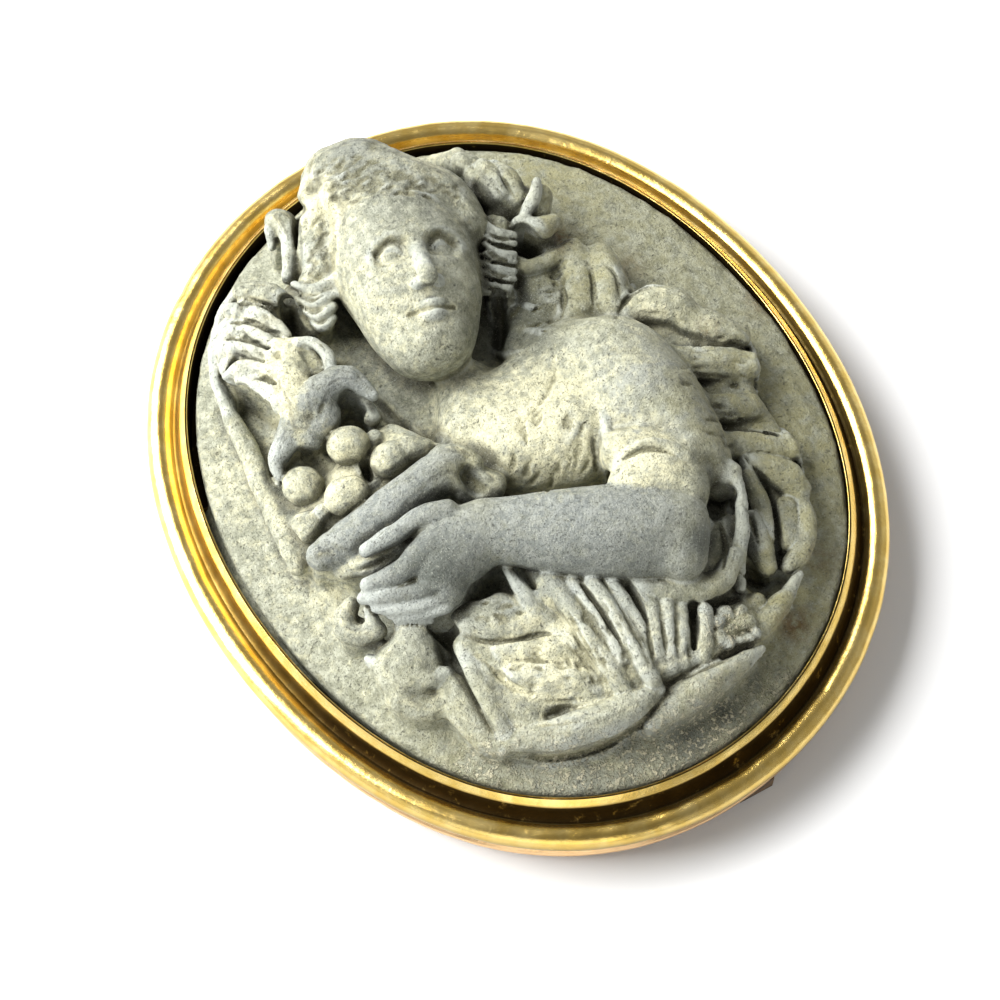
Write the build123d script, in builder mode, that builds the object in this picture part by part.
from build123d import *
from collections import namedtuple
from math import hypot, sqrt
import os

# Lava cameo brooch, lying on its back.
# Millimetres, +Z up out of the carving, +Y up the figure, +X to the viewer's right.
# The origin is on the table, under the middle of the oval.

# The oval setting
brooch_length = 48.0
brooch_width = 40.6
fitting_height = 1.3         # the pin fitting lifts the frame's back off the table
frame_depth = 3.78           # from the frame's back edge to the top of the bezel

# The frame's section. "in" is measured inwards from the outer oval.
bead_radius = 0.75
bead_height = 2.2            # middle of the outer bead above the frame's back edge
bead_foot_in = 0.7           # where the bead turns into the cove below it
cove_in = 0.95
cove_height = 1.05
flange_in = 0.38             # outer edge of the base flange
flange_thickness = 0.3
channel_in = 1.55            # lowest line of the sunk channel
channel_height = 2.36
channel_start_in = 1.26
bezel_in = 1.86              # foot of the bezel's outer wall
bezel_foot_height = 2.75
bezel_wall_in = 2.1          # the outer wall leans in to here at the top
bezel_lip_width = 0.41
lip_round = 0.12             # height of the lip's rounded shoulder
lip_line_width = 0.08        # fine line cut round the lip
lip_line_depth = 0.07
ledge_in = 4.0               # inner edge of the ledge that carries the stone
ledge_thickness = 1.0

# The stone
stone_clearance = 0.3        # round the stone, inside the bezel
stone_edge_drop = 0.3        # the stone's edge lies this far below the lip
dome_rise = 2.2              # the plain ground swells this much towards the middle
carving_height = 9.9         # from the stone's edge up to the tip of the nose
blend_width = 0.5            # how softly one carved form runs into the next
fall_off = 3.6               # how fast a form sinks into the ground past its own edge
section_pitch = 0.46         # between one section of the carving and the next
point_pitch = 0.44           # along each section

# The pin fitting, one plain piece along the frame's back
fitting_side = 2.6           # the pin lies this far to the viewer's right of the middle
fitting_width = 2.1
hinge_length = 2.5
catch_length = 2.2
fitting_end_in = 0.72        # the fitting's ends stop this far inside the outer oval
pin_radius = 0.4

half_length = brooch_length / 2
half_width = brooch_width / 2
lip_inner_in = bezel_wall_in + bezel_lip_width
frame_back = fitting_height
frame_top = frame_back + frame_depth
stone_half_width = half_width - lip_inner_in - stone_clearance
stone_half_length = half_length - lip_inner_in - stone_clearance
stone_back = frame_back + ledge_thickness
stone_edge = frame_top - stone_edge_drop

# The carved forms. Each is a rounded ridge from one end to the other.
# across is a share of the stone's half width, along a share of its half length,
# crest and foot are shares of carving_height above the stone's edge,
# and radius is a share of the stone's half width.
Form = namedtuple("Form", "name across along crest radius across_2 along_2 crest_2 radius_2 foot")

head_forms = [
    Form("skull", -0.05, 0.57, 0.88, 0.256, -0.12, 0.25, 0.86, 0.180, 0.29),
    Form("crown of hair", -0.10, 0.77, 0.71, 0.195, 0.09, 0.68, 0.76, 0.205, 0.14),
    Form("hair by the left temple", -0.17, 0.82, 0.62, 0.097, -0.27, 0.67, 0.56, 0.091, 0.19),
    Form("hair by the left cheek", -0.27, 0.67, 0.56, 0.091, -0.34, 0.54, 0.47, 0.062, 0.19),
    Form("hanging lock", -0.30, 0.83, 0.45, 0.057, -0.37, 0.71, 0.37, 0.043, 0.15),
    Form("rolled hair", 0.17, 0.75, 0.68, 0.085, 0.29, 0.67, 0.66, 0.085, 0.24),
    Form("upper curl", 0.32, 0.67, 0.63, 0.062, 0.37, 0.55, 0.56, 0.057, 0.19),
    Form("outer curl", 0.43, 0.65, 0.53, 0.045, 0.44, 0.48, 0.45, 0.057, 0.19),
    Form("hair at the nape", 0.30, 0.53, 0.54, 0.068, 0.18, 0.34, 0.43, 0.074, 0.19),
    Form("hair on the shoulder", 0.21, 0.34, 0.41, 0.091, 0.23, 0.16, 0.45, 0.091, 0.19),
]

face_forms = [
    Form("left cheek", -0.24, 0.41, 0.84, 0.068, -0.22, 0.40, 0.84, 0.068, 0.70),
    Form("right cheek", 0.04, 0.35, 0.84, 0.068, 0.02, 0.36, 0.84, 0.068, 0.70),
    Form("left brow", -0.21, 0.53, 0.83, 0.030, -0.09, 0.50, 0.91, 0.034, 0.74),
    Form("right brow", 0.09, 0.47, 0.83, 0.030, -0.04, 0.48, 0.91, 0.034, 0.74),
    Form("nose", -0.07, 0.48, 0.91, 0.036, -0.11, 0.36, 1.00, 0.052, 0.80),
    Form("lips", -0.18, 0.29, 0.90, 0.032, -0.08, 0.27, 0.90, 0.032, 0.78),
    Form("chin", -0.17, 0.21, 0.90, 0.062, -0.15, 0.20, 0.90, 0.062, 0.70),
]

body_forms = [
    Form("neck", -0.10, 0.19, 0.43, 0.148, -0.12, 0.07, 0.45, 0.148, 0.14),
    Form("upper chest", -0.14, 0.04, 0.47, 0.170, 0.19, 0.05, 0.56, 0.159, 0.14),
    Form("breast", -0.01, -0.09, 0.62, 0.159, 0.13, -0.12, 0.64, 0.159, 0.19),
    Form("shoulder", 0.33, -0.02, 0.70, 0.193, 0.33, -0.25, 0.76, 0.210, 0.14),
    Form("sleeve", 0.36, -0.26, 0.74, 0.182, 0.46, -0.36, 0.56, 0.108, 0.14),
    Form("sleeve's tip", 0.46, -0.36, 0.56, 0.091, 0.49, -0.43, 0.43, 0.051, 0.14),
    Form("upper arm", 0.21, -0.38, 0.72, 0.125, 0.30, -0.44, 0.70, 0.125, 0.19),
    Form("forearm by the elbow", 0.21, -0.51, 0.74, 0.148, -0.03, -0.42, 0.82, 0.148, 0.34),
    Form("forearm by the wrist", -0.03, -0.42, 0.82, 0.148, -0.28, -0.28, 0.76, 0.099, 0.34),
    Form("back of the hand", -0.32, -0.27, 0.75, 0.097, -0.48, -0.25, 0.66, 0.114, 0.29),
    Form("thumb", -0.38, -0.17, 0.72, 0.040, -0.57, -0.15, 0.64, 0.031, 0.29),
    Form("first finger", -0.46, -0.23, 0.69, 0.057, -0.68, -0.22, 0.56, 0.040, 0.29),
    Form("second finger", -0.49, -0.32, 0.62, 0.034, -0.70, -0.25, 0.52, 0.031, 0.29),
    Form("third finger", -0.50, -0.34, 0.58, 0.034, -0.68, -0.28, 0.47, 0.028, 0.29),
    Form("fourth finger", -0.52, -0.36, 0.53, 0.034, -0.65, -0.31, 0.42, 0.028, 0.29),
]

fruit_forms = [
    Form("rolled rim of the horn", -0.76, -0.10, 0.47, 0.051, -0.23, -0.08, 0.62, 0.062, 0.19),
    Form("mouth of the horn", -0.23, -0.08, 0.60, 0.057, -0.21, -0.14, 0.54, 0.051, 0.19),
    Form("bed of the fruit", -0.67, 0.02, 0.35, 0.091, -0.37, 0.13, 0.43, 0.102, 0.14),
    Form("first fruit", -0.50, 0.14, 0.54, 0.061, -0.50, 0.13, 0.54, 0.061, 0.29),
    Form("second fruit", -0.41, 0.06, 0.57, 0.062, -0.40, 0.05, 0.57, 0.062, 0.29),
    Form("third fruit", -0.68, 0.12, 0.43, 0.058, -0.68, 0.11, 0.43, 0.058, 0.23),
    Form("fourth fruit", -0.59, 0.03, 0.53, 0.057, -0.59, 0.02, 0.53, 0.057, 0.29),
    Form("fifth fruit", -0.72, 0.03, 0.37, 0.040, -0.72, 0.02, 0.37, 0.040, 0.19),
    Form("upper bunch", -0.53, 0.68, 0.45, 0.054, -0.41, 0.59, 0.48, 0.045, 0.15),
    Form("side bunch", -0.56, 0.61, 0.47, 0.097, -0.64, 0.50, 0.41, 0.085, 0.14),
    Form("leaf's top", -0.49, 0.48, 0.52, 0.074, -0.44, 0.40, 0.54, 0.068, 0.19),
    Form("leaf's middle", -0.52, 0.41, 0.56, 0.097, -0.58, 0.26, 0.54, 0.085, 0.19),
    Form("leaf's tail", -0.59, 0.29, 0.52, 0.068, -0.70, 0.20, 0.41, 0.034, 0.19),
    Form("leaf's side lobe", -0.50, 0.31, 0.59, 0.057, -0.40, 0.30, 0.60, 0.048, 0.19),
    Form("leaf's side tip", -0.40, 0.30, 0.60, 0.048, -0.36, 0.24, 0.56, 0.028, 0.19),
    Form("leaf's lower lobe", -0.59, 0.27, 0.52, 0.068, -0.53, 0.24, 0.47, 0.051, 0.19),
    Form("hook of the horn", -0.73, -0.22, 0.37, 0.034, -0.79, -0.26, 0.33, 0.034, 0.13),
    Form("end of the horn", -0.79, -0.26, 0.33, 0.034, -0.69, -0.34, 0.37, 0.040, 0.13),
    Form("bell under the hand", -0.61, -0.37, 0.41, 0.057, -0.67, -0.45, 0.38, 0.108, 0.11),
]

drapery_forms = [
    Form("waist", -0.19, -0.41, 0.43, 0.148, 0.04, -0.58, 0.43, 0.136, 0.14),
    Form("lap", -0.39, -0.49, 0.39, 0.148, -0.06, -0.63, 0.45, 0.159, 0.14),
    Form("lower lap", -0.39, -0.64, 0.37, 0.148, -0.05, -0.71, 0.37, 0.136, 0.11),
    Form("left fold", -0.50, -0.50, 0.37, 0.051, -0.49, -0.74, 0.33, 0.040, 0.11),
    Form("pleats", 0.12, -0.67, 0.39, 0.091, 0.13, -0.75, 0.33, 0.068, 0.11),
    Form("outer ridge", -0.60, -0.54, 0.34, 0.080, -0.55, -0.70, 0.29, 0.068, 0.09),
    Form("small lumps", -0.71, -0.50, 0.28, 0.068, -0.69, -0.57, 0.25, 0.057, 0.09),
    Form("drape past the elbow", 0.50, -0.43, 0.41, 0.034, 0.42, -0.60, 0.37, 0.034, 0.14),
    Form("turn of the drape", 0.42, -0.60, 0.37, 0.034, 0.27, -0.66, 0.38, 0.045, 0.14),
    Form("drape under the elbow", 0.27, -0.66, 0.38, 0.045, 0.12, -0.60, 0.41, 0.051, 0.14),
]

border_forms = [
    Form("left border roll", -0.55, -0.72, 0.31, 0.045, -0.30, -0.82, 0.34, 0.051, 0.07),
    Form("middle border roll", -0.30, -0.82, 0.34, 0.051, -0.07, -0.80, 0.35, 0.040, 0.07),
    Form("second border roll", -0.09, -0.85, 0.32, 0.040, 0.06, -0.85, 0.33, 0.054, 0.07),
    Form("second roll's point", 0.06, -0.85, 0.33, 0.054, 0.28, -0.82, 0.29, 0.028, 0.07),
    Form("third border roll", 0.20, -0.78, 0.31, 0.028, 0.41, -0.74, 0.31, 0.037, 0.07),
    Form("third roll's point", 0.41, -0.74, 0.31, 0.037, 0.54, -0.69, 0.27, 0.020, 0.07),
]

cloak_forms = [
    Form("first cloak fold", 0.49, 0.34, 0.38, 0.085, 0.43, 0.20, 0.41, 0.091, 0.13),
    Form("second cloak fold", 0.52, 0.13, 0.41, 0.057, 0.66, 0.12, 0.39, 0.057, 0.13),
    Form("third cloak fold", 0.59, 0.01, 0.41, 0.057, 0.76, -0.06, 0.36, 0.051, 0.11),
    Form("fourth cloak fold", 0.57, -0.10, 0.41, 0.074, 0.71, -0.17, 0.35, 0.068, 0.11),
    Form("fifth cloak fold", 0.56, -0.24, 0.38, 0.068, 0.73, -0.29, 0.32, 0.051, 0.09),
    Form("sixth cloak fold", 0.58, -0.33, 0.37, 0.068, 0.69, -0.45, 0.30, 0.057, 0.09),
    Form("lower cloak fold", 0.54, -0.47, 0.36, 0.068, 0.48, -0.66, 0.31, 0.068, 0.09),
    Form("cloak's outer edge", 0.68, -0.49, 0.29, 0.051, 0.57, -0.65, 0.28, 0.040, 0.08),
]

carved_forms = head_forms + face_forms + body_forms + fruit_forms
carved_forms += drapery_forms + border_forms + cloak_forms


def blend(low, high):
    """The higher of two heights, with a soft hollow where they meet."""
    share = min(1, max(0, 0.5 + (high - low) / (2 * blend_width)))
    return low + (high - low) * share + blend_width * share * (1 - share)


def ground(x, y):
    """The plain domed ground of the stone."""
    reach = 1 - (x / stone_half_width) ** 2 - (y / stone_half_length) ** 2
    return stone_edge + dome_rise * max(0, reach) ** 0.8


def ridge(form, x, y):
    """The height of one carved form over a place on the stone, falling away outside it."""
    start_x = form.across * stone_half_width
    start_y = form.along * stone_half_length
    run_x = form.across_2 * stone_half_width - start_x
    run_y = form.along_2 * stone_half_length - start_y
    share = ((x - start_x) * run_x + (y - start_y) * run_y) / (run_x**2 + run_y**2)
    share = min(1, max(0, share))
    radius = stone_half_width * (form.radius + (form.radius_2 - form.radius) * share)
    crest = carving_height * (form.crest + (form.crest_2 - form.crest) * share)
    foot = carving_height * form.foot
    reach = hypot(x - start_x - share * run_x, y - start_y - share * run_y) / radius
    if reach > 1:
        return stone_edge + foot - fall_off * (reach - 1)
    return stone_edge + foot + (crest - foot) * sqrt(1 - reach**2)


def carved_height(x, y):
    height = ground(x, y)
    for form in carved_forms:
        height = blend(height, ridge(form, x, y))
    return height


def softened(rows):
    """Heights mixed with their neighbours, first along each row and then across the rows."""
    for direction in range(2):
        mixed = []
        for row in rows:
            before = row[:1] + row[:-1]
            after = row[1:] + row[-1:]
            mixed.append([(low + 2 * here + high) / 4 for low, here, high in zip(before, row, after)])
        rows = [list(column) for column in zip(*mixed)]
    return rows


def stations(reach, pitch):
    """Evenly spaced places from -reach to reach, about a pitch apart."""
    count = round(2 * reach / pitch)
    return [reach * (2 * step / count - 1) for step in range(count + 1)]


# Frame: outer bead, sunk channel, bezel and the ledge under the stone, one soldered piece
ledge_top = ledge_thickness
lip_outer_in = bezel_wall_in + lip_round
line_in = (lip_outer_in + lip_inner_in) / 2

with BuildPart() as gold_frame:
    with BuildLine(Plane.XY.offset(frame_back)) as outer_oval:
        EllipticalCenterArc((0, 0), half_width, half_length, arc_size=360)
    oval_start = outer_oval.line @ 0
    inwards = Vector(0, 0, frame_back) - oval_start
    section_plane = Plane(origin=oval_start, x_dir=inwards, z_dir=outer_oval.line % 0)
    with BuildSketch(section_plane) as frame_section:
        with BuildLine():
            bead_drop = sqrt(bead_radius**2 - (bead_radius - bead_foot_in) ** 2)
            bead_rise = sqrt(bead_radius**2 - (channel_start_in - bead_radius) ** 2)
            bead_foot = (bead_foot_in, bead_height - bead_drop)
            bead_end = (channel_start_in, bead_height + bead_rise)
            flange_top = (flange_in, flange_thickness)
            channel_low = (channel_in, channel_height)
            bezel_foot = (bezel_in, bezel_foot_height)
            bezel_top = (bezel_wall_in, frame_depth - lip_round)
            Polyline((ledge_in, 0), (flange_in, 0), flange_top)
            ThreePointArc(flange_top, (cove_in, cove_height), bead_foot)
            ThreePointArc(bead_foot, (0, bead_height), bead_end)
            Polyline(bead_end, channel_low, bezel_foot, bezel_top, (lip_outer_in, frame_depth))
            Polyline(
                (lip_outer_in, frame_depth),
                (line_in - lip_line_width / 2, frame_depth),
                (line_in, frame_depth - lip_line_depth),
                (line_in + lip_line_width / 2, frame_depth),
                (lip_inner_in, frame_depth),
                (lip_inner_in, ledge_top),
                (ledge_in, ledge_top),
                (ledge_in, 0),
            )
        make_face()
    sweep(path=outer_oval.line)

gold_frame.part.label = "gold_frame"

# Stone: the carving is lofted through sections, then trimmed to the oval
block_side = stone_half_width + point_pitch
block_end = stone_half_length + section_pitch
section_points = stations(block_side, point_pitch)
section_places = stations(block_end, section_pitch)
spacing = [place / (len(section_points) - 1) for place in range(len(section_points))]
carving = softened([[carved_height(x, y) for x in section_points] for y in section_places])

with BuildPart() as lava_cameo:
    for y, heights in zip(section_places, carving):
        skyline = [Vector(x, height) for x, height in zip(section_points, heights)]
        with BuildSketch(Plane.XZ.offset(-y)):
            with BuildLine():
                add(Edge.make_spline(skyline, parameters=spacing))
                Polyline(
                    (-block_side, heights[0]),
                    (-block_side, stone_back),
                    (block_side, stone_back),
                    (block_side, heights[-1]),
                )
            make_face()
    loft(ruled=True)
    with BuildSketch(Plane.XY.offset(stone_back)):
        Ellipse(stone_half_width, stone_half_length)
    extrude(amount=stone_edge_drop + frame_depth + 2 * carving_height, mode=Mode.INTERSECT)

lava_cameo.part.label = "lava_cameo"

# Pin fitting: hinge block, straight pin and catch, one plain piece under the frame
fitting_share = sqrt(1 - (fitting_side / half_width) ** 2)
fitting_end = half_length * fitting_share - fitting_end_in
pin_height = fitting_height / 2

with BuildPart() as pin_fitting:
    with BuildSketch(Plane.XY):
        with Locations((fitting_side, -fitting_end + hinge_length / 2)):
            Rectangle(fitting_width, hinge_length)
        with Locations((fitting_side, fitting_end - catch_length / 2)):
            Rectangle(fitting_width, catch_length)
    extrude(amount=fitting_height)
    pin_start = -fitting_end + hinge_length / 2
    with BuildSketch(Plane(origin=(fitting_side, pin_start, pin_height), x_dir=(1, 0, 0), z_dir=(0, 1, 0))):
        Circle(pin_radius)
    extrude(amount=2 * fitting_end - hinge_length / 2 - catch_length / 2)

pin_fitting.part.label = "pin_fitting"

os.makedirs("parts", exist_ok=True)
export_step(gold_frame.part, "parts/gold_frame.step")
export_step(lava_cameo.part, "parts/lava_cameo.step")
export_step(pin_fitting.part, "parts/pin_fitting.step")
